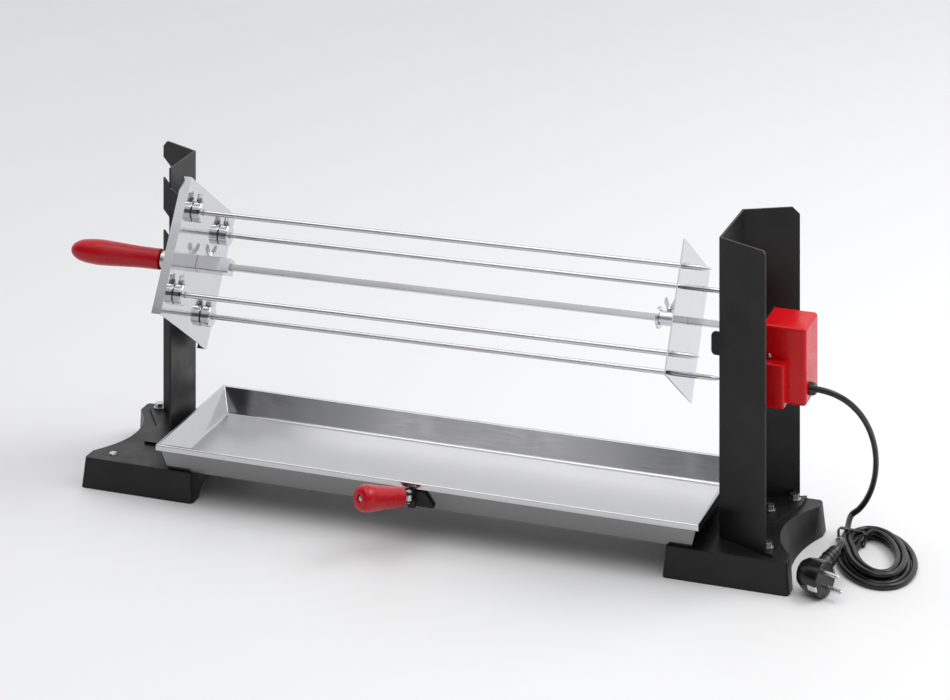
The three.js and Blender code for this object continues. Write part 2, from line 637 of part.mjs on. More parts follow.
// Pieces that turn in the drive unit, in the spit line's frame.
function makeGears(line) {
  const bush = turnedX([[2.9, 8.4], [2.9, 9.4], [GAP + 5, 9.4], [GAP + 5, 11.4], [GAP + 7, 11.4],
    [GAP + 7, 8.4], [2.9, 8.4]]);
  put(line, 'output_bush', bush, 'brass');
  const journalEnd = GEAR_PLATE_LEFT + GEAR_PLATE_SHEET - POST_WEB_X;
  const shoulder = GEAR_START + 4.2;
  const socket = turnedX([[-1, 0], [-1, 8], [GEAR_START - 0.4, 8], [GEAR_START - 0.4, 5], [shoulder, 5],
    [shoulder, 2.6], [journalEnd, 2.6], [journalEnd, 0]]);
  put(line, 'drive_socket', cut(socket, [squareHole(-3, SHAFT_RIGHT_END + 0.6)]), 'steel');
  const wheel = gearX(WHEEL_TEETH, Math.PI / WHEEL_TEETH, GEAR_START, GEAR_START + 4.5);
  put(line, 'output_gear', cut(wheel, [rodX(5.3, GEAR_START - 5, GEAR_START + 20)]), 'brass');
  const idler = frameAt(line, new THREE.Vector3(0, 0, -GEAR_DISTANCE));
  const small = gearX(PINION_TEETH, Math.PI / 2, GEAR_START, GEAR_START + 5.2);
  const large = gearX(WHEEL_TEETH, Math.PI / 2, GEAR_START + 5.1, GEAR_START + 8.4);
  const axleBore = rodX(2.3, GEAR_START - 5, GEAR_START + 20, 16);
  put(idler, 'idler_gear', cut(join([small, large]), [axleBore]), 'brass');
  put(idler, 'idler_axle', rodX(2, GEAR_START - 5, GEAR_START + 9.1, 12), 'steel');
  const motor = frameAt(line, new THREE.Vector3(0, 0, -2 * GEAR_DISTANCE));
  const phase = Math.PI / 2 + Math.PI / PINION_TEETH;
  const teeth = gearX(PINION_TEETH, phase, GEAR_START + 5.2, GEAR_START + 8.4);
  const rotor = rodX(1.8, GEAR_START + 4.1, GEAR_START + 11.4, 10);
  put(motor, 'motor_pinion', join([teeth, rotor]), 'steel');
}

// ---------------------------------------------------------------- spit

// Square bar about the X axis, turned with the plates.
function squareBar(side, x0, x1) {
  return block(x0, -side / 2, -side / 2, x1, side / 2, side / 2).rotateX(PLATE_TURN);
}

function squareHole(x0, x1) {
  return squareBar(SHAFT_SIDE + 2 * GAP, x0, x1);
}

function plateSheet([halfY, halfZ]) {
  return extruded(roundedRectangle(halfY, halfZ, 1), PLATE_SHEET);
}

// Cutters for a plate drawn in X-Y before it is turned: four round holes and the square one.
function plateHoles() {
  const half = SHAFT_SIDE / 2 + GAP;
  const rods = [-1, 1].flatMap((sy) => [-1, 1].map((sz) => rodZ(SKEWER_HOLE_RADIUS, -3, 5, 12)
    .translate(sy * SKEWER_HALF_Y, sz * SKEWER_HALF_Z, 0)));
  return [...rods, block(-half, -half, -3, half, half, 5)];
}

function skewerSpots() {
  const spots = [[-1, 1], [1, 1], [-1, -1], [1, -1]];
  return spots.map(([sy, sz]) => new THREE.Vector2(sy * SKEWER_HALF_Y, sz * SKEWER_HALF_Z)
    .rotateAround(new THREE.Vector2(), PLATE_TURN));
}

function makeShaft(spit) {
  const shaft = squareBar(SHAFT_SIDE, HANDLE_RIGHT_END - HANDLE_TANG, SHAFT_RIGHT_END);
  put(spit, 'spit_shaft', shaft, 'stainless');
  const left = HANDLE_RIGHT_END + GAP;
  const right = LEFT_PLATE_X - 11.6;
  const journal = turnedX([[left, 0], [left, 9], [left + 1.2, JOURNAL_RADIUS], [right - 1, JOURNAL_RADIUS],
    [right, 9], [right, 0]], 32);
  put(spit, 'journal_sleeve', cut(journal, [squareHole(left - 1, LEFT_PLATE_X)]), 'steel');
}

function makeHandle(spit) {
  const steps = 14;
  const profile = [[HANDLE_RIGHT_END, 0], [HANDLE_RIGHT_END, 10.6]];
  const waist = new THREE.CatmullRomCurve3([
    new THREE.Vector3(1.2, 11.8, 0),
    new THREE.Vector3(30, 12.2, 0),
    new THREE.Vector3(75, 14.5, 0),
    new THREE.Vector3(102, 12.6, 0),
    new THREE.Vector3(112, 8.8, 0),
    new THREE.Vector3(116.2, 4.2, 0),
  ]);
  for (const point of waist.getPoints(steps)) profile.push([HANDLE_RIGHT_END - point.x, point.y]);
  profile.push([HANDLE_RIGHT_END - HANDLE_LENGTH, 0]);
  const hole = squareHole(HANDLE_RIGHT_END - HANDLE_TANG - 0.5, HANDLE_RIGHT_END + 2);
  put(spit, 'spit_handle', cut(turnedX(profile.reverse(), 22), [hole]), 'red_handle');
}

function makeLeftPlate(spit) {
  const [halfY, halfZ] = LEFT_PLATE_HALF;
  const sheet = plateSheet(LEFT_PLATE_HALF);
  const flanges = [-1, 1].map((side) => {
    const outer = side * halfY;
    const inner = side * (halfY - PLATE_SHEET);
    const low = Math.min(outer, inner);
    return block(low, -halfZ, -LEFT_PLATE_FLANGE, low + PLATE_SHEET, halfZ, 0.5);
  });
  const flat = cut(join([sheet, ...flanges]), plateHoles());
  put(spit, 'left_plate', acrossX(flat.rotateZ(PLATE_TURN), LEFT_PLATE_X), 'stainless');
}

// Square clamp tube on the right side of the left plate, with a tapped hole for its wing screw.
function makeLeftHub(spit) {
  const start = LEFT_PLATE_X + PLATE_SHEET + GAP;
  const end = start + HUB_LENGTH;
  const half = HUB_HALF_SIDE;
  const screwX = start + HUB_SCREW_X;
  const tube = roundedBlock([start, -half, -half], [end, half, half], 1.5, 'x', 2).rotateX(PLATE_TURN);
  const tapped = rodZ(TAPPED_RADIUS, 0, 20, 12).translate(screwX, 0, 0).rotateX(PLATE_TURN);
  put(spit, 'left_hub', cut(tube, [squareHole(start - 1, end + 1), tapped]), 'stainless');
  const screw = wingScrew(SHAFT_SIDE / 2 + 2 * GAP, half + 1, HUB_WING).translate(screwX, 0, 0);
  put(spit, 'hub_wing_screw_left', screw.rotateX(PLATE_TURN), 'steel');
}

// Wing screw along +Z: shank from the clamped bar to the collar's surface, then a boss and two wings
// of the given reach and height.
function wingScrew(bottom, surface, { reach, height }) {
  const boss = surface + GAP;
  const shank = rodZ(2.4, bottom, boss + 1, 10);
  const body = turnedZ([[boss, 0], [boss, 4.2], [boss + 4, 3.4], [boss + 4.6, 0]], 12);
  const tip = 1.6;
  const wing = new THREE.Shape();
  wing.moveTo(0, boss + 0.6);
  wing.lineTo(3, boss + 0.6);
  wing.lineTo(reach, boss + height * 0.55);
  wing.absarc(reach - tip, boss + height - tip, tip, 0, Math.PI);
  wing.lineTo(0, boss + 3.6);
  const blade = extruded(wing, 1.8, 4).translate(0, 0, -0.9).rotateX(Math.PI / 2);
  const other = blade.clone().rotateZ(Math.PI);
  return join([shank, body, blade, other]);
}

// Collar that clamps one skewer, its wing screw leaning a little from the vertical.
function makeSkewerCollar(spit, spot, number) {
  const start = LEFT_PLATE_X + PLATE_SHEET + GAP;
  const end = start + COLLAR_LENGTH;
  const screwX = start + COLLAR_SCREW_X;
  const group = frameAt(spit, new THREE.Vector3(0, spot.x, spot.y), [WING_LEAN, 0, 0]);
  const ring = turnedX([[start, SKEWER_HOLE_RADIUS], [start, COLLAR_RADIUS - 1],
    [start + 1, COLLAR_RADIUS], [end - 1, COLLAR_RADIUS], [end, COLLAR_RADIUS - 1],
    [end, SKEWER_HOLE_RADIUS], [start, SKEWER_HOLE_RADIUS]], 18);
  const tapped = rodZ(TAPPED_RADIUS, 0, 20, 12).translate(screwX, 0, 0);
  put(group, `skewer_collar_${number}`, cut(ring, [tapped]), 'stainless');
  const screw = wingScrew(SKEWER_RADIUS + GAP, COLLAR_RADIUS, COLLAR_WING).rotateZ(Math.PI / 2);
  put(group, `skewer_wing_screw_${number}`, screw.translate(screwX, 0, 0), 'steel');
}

// Round bar that tapers to a point at its right end.
function skewer(left, right) {
  const taper = right - 14;
  const profile = [[left, 0], [left, SKEWER_RADIUS - 0.5], [left + 0.5, SKEWER_RADIUS],
    [taper, SKEWER_RADIUS], [right - 8, SKEWER_RADIUS - 0.5], [right, 0.3], [right, 0]];
  return turnedX(profile, 12);
}

function makeSkewers(spit) {
  skewerSpots().forEach((spot, i) => {
    makeSkewerCollar(spit, spot, i + 1);
    const bar = skewer(LEFT_PLATE_X - 1.4, SKEWER_ENDS[i % 2]);
    put(spit, `skewer_${i + 1}`, bar.translate(0, spot.x, spot.y), 'stainless');
  });
}

function makeRightPlate(spit) {
  const plate = cut(plateSheet(RIGHT_PLATE_HALF), plateHoles()).rotateZ(PLATE_TURN);
  put(spit, 'right_plate', acrossX(plate, RIGHT_PLATE_X), 'stainless');
  const end = RIGHT_PLATE_X - GAP;
  const start = end - RIGHT_HUB_LENGTH;
  const radius = RIGHT_HUB_RADIUS;
  const tube = turnedX([[start, 0], [start, 11.5], [start + 0.6, 12], [start + 3, 12],
    [start + 3, radius], [end - 3, radius], [end - 3, 10], [end, 10], [end, 0]], 24);
  const screwX = end - 21;
  const tapped = rodZ(TAPPED_RADIUS, 0, 20, 12).translate(screwX, 0, 0).rotateX(PLATE_TURN);
  put(spit, 'right_hub', cut(tube, [squareHole(start - 1, end + 1), tapped]), 'stainless');
  const screw = wingScrew(SHAFT_SIDE / 2 + 2 * GAP, radius + 1, HUB_WING).translate(screwX, 0, 0);
  put(spit, 'hub_wing_screw_right', screw.rotateX(PLATE_TURN), 'steel');
}

function makeSpitLine() {
  const line = frameAt(grill, new THREE.Vector3(POST_WEB_X, SPIT_Y, SPIT_Z), [0, SPIT_TILT, 0]);
  makeGears(line);
  makeShaft(line);
  makeHandle(line);
  makeLeftPlate(line);
  makeLeftHub(line);
  makeSkewers(line);
  makeRightPlate(line);
}

// ---------------------------------------------------------------- drip tray

function makeTray() {
  const wallX = TRAY_HALF_X - TRAY_DRAFT;
  const wallY = TRAY_HALF_Y - TRAY_DRAFT;
  const hemBottom = TRAY_TOP - TRAY_HEM;
  const ring = (out, z) => rectangleRing(wallX + out, wallY + out, z);
  const lip = TRAY_DRAFT - 3.5;
  const rings = [
    ring(0, TRAY_FLOOR),
    ring(lip - 0.6, hemBottom),
    ring(TRAY_DRAFT - 0.4, hemBottom),
    ring(TRAY_DRAFT, hemBottom + 0.6),
    ring(TRAY_DRAFT, TRAY_TOP - 0.8),
    ring(TRAY_DRAFT - 0.8, TRAY_TOP),
    ring(lip, TRAY_TOP),
    ring(lip - 0.6, TRAY_TOP - 0.6),
    ring(-TRAY_SHEET + 0.7, TRAY_FLOOR + TRAY_SHEET + 2.4),
    ring(-TRAY_SHEET - 0.6, TRAY_FLOOR + TRAY_SHEET + 0.6),
    ring(-TRAY_SHEET - 2.6, TRAY_FLOOR + TRAY_SHEET),
  ];
  put(grill, 'drip_tray', ringSolid(rings), 'stainless');
}

// Slanted bracket plate on the tray's front wall, with two ears that carry the pivot pin.
function makeTrayHandle() {
  const lean = Math.atan2(TRAY_DRAFT - 4.1, TRAY_TOP - TRAY_HEM - TRAY_FLOOR);
  const plate = extruded(polygon([[-17, 1], [15, 1], [5, 20], [-17, 20]]), 2);
  plate.translate(0, 0, -2).rotateX(Math.PI / 2 + lean);
  const wallFoot = -(TRAY_HALF_Y - TRAY_DRAFT);
  plate.translate(0, wallFoot - GAP - 2.3, TRAY_FLOOR + 0.6);
  const { x, y, z } = GRIP_PIVOT;
  const ears = [-1, 1].map((side) => {
    const ear = extruded(roundedRectangle(4, 7.2, 3.5), 1.6, 4);
    return ear.translate(x, y + 3.7, z + side * 4.6 - 0.8);
  });
  const web = block(x - 4, y + 7.5, z - 15, x + 4, y + 11.2, z + 5.4);
  const pinHole = rodZ(2.3, z - 12, z + 12, 12).translate(x, y, 0);
  put(grill, 'tray_handle_bracket', cut(join([plate, web, ...ears]), [pinHole]), 'black_paint');
  const pin = turnedZ([[-6.8, 0], [-6.8, 2], [GAP + 5.4, 2], [GAP + 5.4, 3.4], [7, 3.1], [7.4, 0]], 14);
  put(grill, 'tray_handle_pin', pin.translate(x, y, z), 'steel');
  makeTrayGrip(GRIP_PIVOT);
}

// The eye is level; the rod leaves it with a rise and carries the grip.
function makeTrayGrip(pivot) {
  const arm = frameAt(grill, pivot, [0, 0, Math.PI + GRIP_TURN]);
  const raised = (geometry) => geometry.rotateY(-GRIP_RISE);
  const eye = rodZ(4.2, -3, 3, 16);
  const rod = raised(rodX(2.4, 1, 52, 12));
  const shoulder = raised(turnedX([[9, 0], [9, 5.6], [11.6, 5.6], [11.6, 0]], 16));
  put(arm, 'tray_handle_rod', cut(join([eye, rod, shoulder]), [rodZ(2.3, -6, 6, 14)]), 'steel');
  const start = 12;
  const end = start + GRIP_LENGTH;
  const bore = 2.8;
  const profile = [[start, bore], [start, 9.6], [start + 1.5, 10.8], [start + 18, 11.6],
    [start + 38, 13.4], [end - 10, 14.2], [end - 4, 13.2], [end - 1, 10.8], [end, 7.5], [end, 4],
    [end - 4, 4], [end - 4, bore], [start, bore]];
  put(arm, 'tray_handle_grip', raised(turnedX(profile, 20)), 'red_handle');
  const screw = turnedX([[end - 3.6, 0], [end - 3.6, 3.6], [end - 2.4, 3.6], [end - 1.4, 2],
    [end - 1.4, 0]], 12);
  put(arm, 'tray_handle_screw', raised(screw), 'steel');
}

// ---------------------------------------------------------------- mains lead

function hankPoint(angle, out, z) {
  const point = new THREE.Vector3(
    (HANK_HALF_WIDTH + out) * Math.cos(angle), (HANK_HALF_LENGTH + out) * Math.sin(angle), 0);
  point.applyAxisAngle(new THREE.Vector3(0, 0, 1), HANK_TURN);
  return point.add(HANK_CENTRE).setZ(z);
}

// Place of the cable in the hank's cross-section: two lanes on top, then three below them.
function lane(turn, phase) {
  const drift = smoothstep(0, 0.12, phase);
  const lifted = smoothstep(0.93, 1, phase) + 1 - smoothstep(0, 0.07, phase);
  const rise = CABLE_RADIUS + 0.1 + lifted * (TIE_BAND + GAP);
  const layer = 7.1;
  if (turn < HANK_UPPER_TURNS) {
    const out = 0.5 - turn - drift;
    const sink = turn === HANK_UPPER_TURNS - 1 ? smoothstep(0.84, 1, phase) : 0;
    return { out: (out - 0.5 * sink) * LANE_PITCH, z: rise + layer * (1 - sink) };
  }
  const out = turn - HANK_UPPER_TURNS - 2 + drift;
  return { out: out * LANE_PITCH, z: rise };
}

function hankPoints() {
  const points = [];
  const steps = 26;
  const turns = HANK_UPPER_TURNS + HANK_LOWER_TURNS;
  for (let i = 0; i <= turns * steps; i += 1) {
    const turn = Math.min(Math.floor(i / steps), turns - 1);
    const phase = i / steps - turn;
    const { out, z } = lane(turn, phase);
    points.push(hankPoint(HANK_TIE_ANGLE + 2 * Math.PI * i / steps, out, z));
  }
  return points;
}

function bridge(from, fromHandle, toHandle, to, count) {
  return new THREE.CubicBezierCurve3(from, fromHandle, toHandle, to).getPoints(count);
}

function makeCable() {
  const hank = hankPoints();
  const [first, second] = hank;
  const inward = second.clone().sub(first).normalize();
  const outside = CABLE_EXIT.clone().setX(HOUSING_RIGHT + 9);
  const arriving = first.clone().addScaledVector(inward, -32).setZ(first.z + 6);
  const bulge = new THREE.Vector3(505, 2, 186);
  const drop = bridge(outside, bulge, new THREE.Vector3(486, 96, 48), arriving, 16);
  const leaving = hank.at(-1).clone().sub(hank.at(-2)).normalize();
  const { neckEnd, neckAxis } = plugNeck();
  const last = hank.at(-1);
  const tail = bridge(last, last.clone().addScaledVector(leaving, 34),
    neckEnd.clone().addScaledVector(neckAxis, 30), neckEnd, 7);
  const start = [0, 4].map((further) => CABLE_EXIT.clone().setX(CABLE_START_X + further));
  const inside = neckEnd.clone().addScaledVector(neckAxis, -6);
  const knots = [...start, ...drop, ...hank, ...tail.slice(1), inside];
  const path = new THREE.CatmullRomCurve3(knots, false, 'centripetal');
  const section = new THREE.Shape();
  section.absarc(0, 0, CABLE_RADIUS, 0, 2 * Math.PI);
  const options = { steps: CABLE_STEPS, bevelEnabled: false, extrudePath: path };
  const tube = new THREE.ExtrudeGeometry(section, { ...options, curveSegments: CABLE_SIDES / 2 });
  put(grill, 'power_cable', tube, 'black_plastic');
}

function makeStrainRelief() {
  const bore = CABLE_RADIUS + 0.6;
  const relief = turnedX([[-5.6, bore], [-5.6, 6.4], [-2.8, 6.4], [-2.8, 4.7], [GAP, 4.7], [GAP, 7],
    [1, 7.3], [5, 6.8], [7.6, 5.4], [7.6, bore], [-5.6, bore]], 20);
  relief.translate(CABLE_EXIT.x, CABLE_EXIT.y, CABLE_EXIT.z);
  put(grill, 'strain_relief', relief, 'black_plastic');
}

// Band round the hank where its lanes are tied, drawn across the direction of the lanes.
function makeCableTie() {
  const centre = -LANE_PITCH / 2;
  const middle = hankPoint(HANK_TIE_ANGLE, centre, 0);
  const ahead = hankPoint(HANK_TIE_ANGLE + 0.05, centre, 0).sub(middle);
  const halfWidth = 1.5 * LANE_PITCH + CABLE_RADIUS + 0.6;
  const halfHeight = 7.3;
  const outer = roundedRectangle(halfWidth + TIE_BAND, halfHeight + TIE_BAND, 4);
  outer.holes.push(roundedRectangle(halfWidth, halfHeight, 3));
  const band = extruded(outer, 5, 3).translate(0, 0, -2.5).rotateX(Math.PI / 2);
  band.rotateZ(Math.atan2(ahead.y, ahead.x) - Math.PI / 2);
  band.translate(middle.x, middle.y, halfHeight + TIE_BAND + 0.1);
  put(grill, 'cable_tie', band, 'black_plastic');
}

function plugFrame(parent) {
  return frameAt(parent, PLUG_CENTRE, [0, 0, PLUG_TURN]);
}

// The plug lies with its pins along local +X; its neck leaves along local +Y and leans upwards.
function plugNeck() {
  const neckAxis = new THREE.Vector3(0, Math.cos(PLUG_LEAN), Math.sin(PLUG_LEAN));
  neckAxis.applyAxisAngle(new THREE.Vector3(0, 0, 1), PLUG_TURN);
  const neckEnd = PLUG_CENTRE.clone().addScaledVector(neckAxis, 45);
  return { neckEnd, neckAxis };
}

function makePlug() {
  const leaning = frameAt(plugFrame(grill), new THREE.Vector3(), [PLUG_LEAN, 0, 0]);
  makePlugBody(leaning);
  [-1, 1].forEach((side, i) => {
    const pin = turnedX([[PLUG_FACE - 8.6, 0], [PLUG_FACE - 8.6, 2.4], [PLUG_FACE + 17.5, 2.4],
      [PLUG_FACE + 19, 1.4], [PLUG_FACE + 19, 0]], 14);
    put(leaning, `plug_pin_${i + 1}`, pin.translate(0, 0, side * PIN_OFFSET), 'steel');
  });
  [-1, 1].forEach((side, i) => {
    const inner = side * 15.8;
    const outer = side * 18.2;
    const clip = block(PLUG_FACE - 11.5, Math.min(inner, outer), -3.2, PLUG_FACE - 0.6,
      Math.max(inner, outer), 3.2);
    put(leaning, `earth_clip_${i + 1}`, clip, 'steel');
  });
}

function makePlugBody(leaning) {
  const face = PLUG_FACE;
  const disc = turnedX([[-16, 0], [-16, 9], [-14, 13], [-8, 16.5], [2, PLUG_RADIUS - 0.6],
    [face - 1, PLUG_RADIUS], [face, PLUG_RADIUS - 1], [face, 0]], 22);
  const neck = new THREE.CylinderGeometry(6.2, 9.5, 36, 16).translate(0, 26, 0);
  const ribs = [0, 1, 2].map((i) => {
    const radius = 8.6 - i * 0.7;
    return new THREE.CylinderGeometry(radius, radius, 3, 16).translate(0, 28.5 + i * 5.5, 0);
  });
  const cableBore = rodY(CABLE_RADIUS + 0.7, 36, 50, 12);
  const pinHoles = [-1, 1].map((side) => {
    const hole = rodX(2.8, face - 9, face + 3, 12);
    return hole.translate(0, 0, side * PIN_OFFSET);
  });
  const slots = [15.4, -22].map((low) => block(face - 12, low, -3.6, face + 3, low + 6.6, 3.6));
  const body = cut(join([disc, neck, ...ribs]), [cableBore, ...pinHoles, ...slots]);
  put(leaning, 'plug_body', body, 'black_plastic');
}

// ---------------------------------------------------------------- assembly

makeFeet();
makeLeftPost();
makeRightPost();
makeBolts();
makeBracket();
makeHousing();
makeHousingScrews();
makeMotor();
makeSpitLine();
makeTray();
makeTrayHandle();
makeStrainRelief();
makeCable();
makeCableTie();
makePlug();

const bounds = new THREE.Box3().setFromObject(grill, true);
grill.position.set(-(bounds.min.x + bounds.max.x) / 2, -(bounds.min.y + bounds.max.y) / 2, -bounds.min.z);

export default grill;
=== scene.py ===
# Looks of a motorised table-top spit rotisserie: powder-coated posts and feet, polished stainless
# plates, bars and tray, lacquered red handles, a red drive housing and a black mains lead.
# Metres, +Z up, +X from the spit handle to the motor, +Y away from the user, table at Z = 0.

import math

import bpy
from mathutils import Matrix, Vector


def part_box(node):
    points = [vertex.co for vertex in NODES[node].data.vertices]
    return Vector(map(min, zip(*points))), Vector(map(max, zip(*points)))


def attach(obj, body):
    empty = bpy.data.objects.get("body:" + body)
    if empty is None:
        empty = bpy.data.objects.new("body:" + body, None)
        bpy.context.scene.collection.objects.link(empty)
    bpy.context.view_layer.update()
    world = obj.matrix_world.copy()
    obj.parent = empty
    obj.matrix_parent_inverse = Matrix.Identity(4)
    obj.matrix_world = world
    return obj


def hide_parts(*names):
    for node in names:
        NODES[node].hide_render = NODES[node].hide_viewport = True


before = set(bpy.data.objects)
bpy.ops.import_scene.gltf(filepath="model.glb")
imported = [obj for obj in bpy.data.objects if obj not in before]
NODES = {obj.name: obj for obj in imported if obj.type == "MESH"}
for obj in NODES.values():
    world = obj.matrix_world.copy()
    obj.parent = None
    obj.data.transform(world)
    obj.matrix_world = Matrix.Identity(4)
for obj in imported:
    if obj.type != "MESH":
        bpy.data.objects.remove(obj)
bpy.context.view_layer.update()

MM = 0.001


def centre_of(node):
    low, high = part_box(node)
    return (low + high) / 2


# Middle of the two feet on the table; pieces below are laid out from here.
MIDDLE = (centre_of("left_foot") + centre_of("right_foot")) / 2
MIDDLE.z = 0.0


def at(x, y, z):
    """A point given in millimetres from the middle of the feet."""
    return MIDDLE + Vector((x, y, z)) * MM


# ---------------------------------------------------------------- shader building

def set_range(node, low, high, out_low, out_high):
    names = ("From Min", "From Max", "To Min", "To Max")
    for name, number in zip(names, (low, high, out_low, out_high)):
        node.inputs[name].default_value = number


class Shader:
    """A material and short ways to add nodes to it."""

    def __init__(self, name):
        self.material = bpy.data.materials.new(name)
        self.material.use_nodes = True
        self.tree = self.material.node_tree
        self.surface = self.tree.nodes["Principled BSDF"]
        self.place = self.node("ShaderNodeTexCoord").outputs["Object"]

    def node(self, kind, **settings):
        made = self.tree.nodes.new(kind)
        for key, value in settings.items():
            setattr(made, key, value)
        return made

    def feed(self, socket, value):
        if isinstance(value, bpy.types.NodeSocket):
            self.tree.links.new(value, socket)
        else:
            socket.default_value = value

    def set(self, **inputs):
        for key, value in inputs.items():
            self.feed(self.surface.inputs[key.replace("_", " ")], value)

    def stretched(self, scale):
        mapping = self.node("ShaderNodeMapping")
        self.feed(mapping.inputs["Vector"], self.place)
        mapping.inputs["Scale"].default_value = scale
        return mapping.outputs["Vector"]

    def noise(self, scale, detail=4.0, stretch=(1, 1, 1), warp=0.0):
        texture = self.node("ShaderNodeTexNoise")
        self.feed(texture.inputs["Vector"], self.stretched(stretch))
        texture.inputs["Scale"].default_value = scale
        texture.inputs["Detail"].default_value = detail
        texture.inputs["Distortion"].default_value = warp
        return texture.outputs["Fac"]

    def remap(self, value, low, high, out_low, out_high):
        ranged = self.node("ShaderNodeMapRange", interpolation_type="SMOOTHSTEP")
        self.feed(ranged.inputs["Value"], value)
        set_range(ranged, low, high, out_low, out_high)
        return ranged.outputs["Result"]

    def maths(self, operation, a, b):
        made = self.node("ShaderNodeMath", operation=operation)
        self.feed(made.inputs[0], a)
        self.feed(made.inputs[1], b)
        return made.outputs["Value"]

    def blend(self, share, first, second):
        mix = self.node("ShaderNodeMix", data_type="RGBA")
        self.feed(mix.inputs[0], share)
        self.feed(mix.inputs[6], first)
        self.feed(mix.inputs[7], second)
        return mix.outputs[2]

    def bump(self, height, distance, strength=1.0, over=None):
        made = self.node("ShaderNodeBump")
        made.inputs["Distance"].default_value = distance
        made.inputs["Strength"].default_value = strength
        self.feed(made.inputs["Height"], height)
        if over is not None:
            self.feed(made.inputs["Normal"], over)
        return made.outputs["Normal"]

    def edges(self, radius):
        """About 1 on sharp edges and 0 on flat faces."""
        rounded = self.node("ShaderNodeBevel", samples=4)
        rounded.inputs["Radius"].default_value = radius
        geometry = self.node("ShaderNodeNewGeometry")
        dot = self.node("ShaderNodeVectorMath", operation="DOT_PRODUCT")
        self.feed(dot.inputs[0], rounded.outputs["Normal"])
        self.feed(dot.inputs[1], geometry.outputs["Normal"])
        return self.remap(dot.outputs["Value"], 0.97, 0.72, 0.0, 1.0)


def grey(value, blue=1.0):
    return (value, value, value * blue, 1.0)


# ---------------------------------------------------------------- finishes

def powder_coat():
    s = Shader("black_powder_coat")
    lighter_edges = s.maths("MULTIPLY", s.edges(0.0011), s.remap(s.noise(160, 4), 0.42, 0.62, 0.15, 1.0))
    base = s.blend(s.noise(9, 3), grey(0.006), grey(0.0095, 1.04))
    s.set(Base_Color=s.blend(lighter_edges, base, grey(0.06, 1.03)))
    s.set(Roughness=s.remap(s.noise(34, 5), 0.3, 0.7, 0.36, 0.48))
    s.set(Specular_IOR_Level=0.36)
    peel = s.bump(s.noise(1500, 2), 0.00005, 0.7)
    s.set(Normal=s.bump(s.noise(45, 2), 0.00012, 0.35, peel))
    return s.material


def polished_sheet():
    s = Shader("polished_stainless_sheet")
    brushed = s.noise(60, 5, (30, 1, 1.4))
    smudge = s.noise(26, 5, warp=0.6)
    s.set(Base_Color=s.blend(smudge, grey(0.60, 1.03), grey(0.68, 1.04)), Metallic=1.0)
    dull = s.remap(smudge, 0.35, 0.7, 0.05, 0.11)
    s.set(Roughness=s.maths("ADD", dull, s.remap(brushed, 0.2, 0.8, 0.0, 0.03)))
    wave = s.bump(s.noise(11, 1), 0.0006, 0.3)
    s.set(Normal=s.bump(brushed, 0.00002, 0.4, wave))
    return s.material


def tray_sheet():
    """Pressed sheet: its floor is satin, its drawn walls are brighter and a little dished."""
    s = Shader("satin_stainless_tray")
    faces = s.node("ShaderNodeNewGeometry").outputs["Normal"]
    parts = s.node("ShaderNodeSeparateXYZ")
    s.feed(parts.inputs[0], faces)
    level = s.remap(s.maths("ABSOLUTE", parts.outputs["Z"], 0.0), 0.5, 0.9, 0.0, 1.0)
    brushed = s.noise(42, 6, (1, 26, 26))
    marks = s.noise(15, 6, warp=0.8)
    spots = s.remap(s.noise(70, 3), 0.62, 0.74, 0.0, 0.25)
    tone = s.blend(marks, grey(0.57, 1.01), grey(0.62, 1.02))
    inside = s.blend(spots, tone, grey(0.54))
    # Faces turned downwards get a darker grey: painted shade on the tray's outer walls and underside.
    painted_shade_outside = s.remap(parts.outputs["Z"], -0.2, -0.05, 1.0, 0.0)
    s.set(Base_Color=s.blend(painted_shade_outside, inside, grey(0.36)), Metallic=1.0)
    satin = s.maths("ADD", s.remap(marks, 0.3, 0.7, 0.1, 0.15), s.maths("MULTIPLY", level, 0.2))
    s.set(Roughness=s.maths("ADD", satin, s.remap(brushed, 0.25, 0.75, 0.0, 0.05)))
    wall = s.maths("SUBTRACT", 1.0, level)
    dish = s.node("ShaderNodeCombineXYZ")
    ends = s.remap(s.maths("ABSOLUTE", parts.outputs["X"], 0.0), 0.3, 0.8, 0.26, 0.55)
    side = s.remap(parts.outputs["Z"], -0.1, 0.1, -1.0, 1.0)
    way = s.maths("MULTIPLY", s.maths("MULTIPLY", side, ends), wall)
    s.feed(dish.inputs["Z"], way)
    added = s.node("ShaderNodeVectorMath", operation="ADD")
    s.feed(added.inputs[0], faces)
    s.feed(added.inputs[1], dish.outputs[0])
    unit = s.node("ShaderNodeVectorMath", operation="NORMALIZE")
    s.feed(unit.inputs[0], added.outputs[0])
    wave = s.bump(s.noise(4.5, 1), 0.0008, 0.2, unit.outputs[0])
    s.set(Normal=s.bump(brushed, 0.00002, 0.3, wave))
    return s.material


def polished_bar():
    s = Shader("polished_stainless_bar")
    streak = s.noise(150, 5, (0.05, 1, 1))
    s.set(Base_Color=s.blend(s.noise(18, 3), grey(0.54), grey(0.66, 1.02)), Metallic=1.0)
    s.set(Roughness=s.remap(streak, 0.25, 0.75, 0.17, 0.32))
    s.set(Normal=s.bump(streak, 0.00003, 0.5))
    return s.material


def zinc_steel(name="zinc_plated_steel", low=0.5, high=0.7):
    s = Shader(name)
    grain = s.noise(420, 4)
    lighter_edges = s.edges(0.0004)
    base = s.blend(s.noise(90, 3), grey(low, 1.03), grey(high, 1.02))
    s.set(Base_Color=s.blend(lighter_edges, base, grey(0.85)), Metallic=1.0)
    s.set(Roughness=s.remap(grain, 0.3, 0.7, 0.2, 0.38))
    s.set(Normal=s.bump(grain, 0.00004, 0.5))
    return s.material


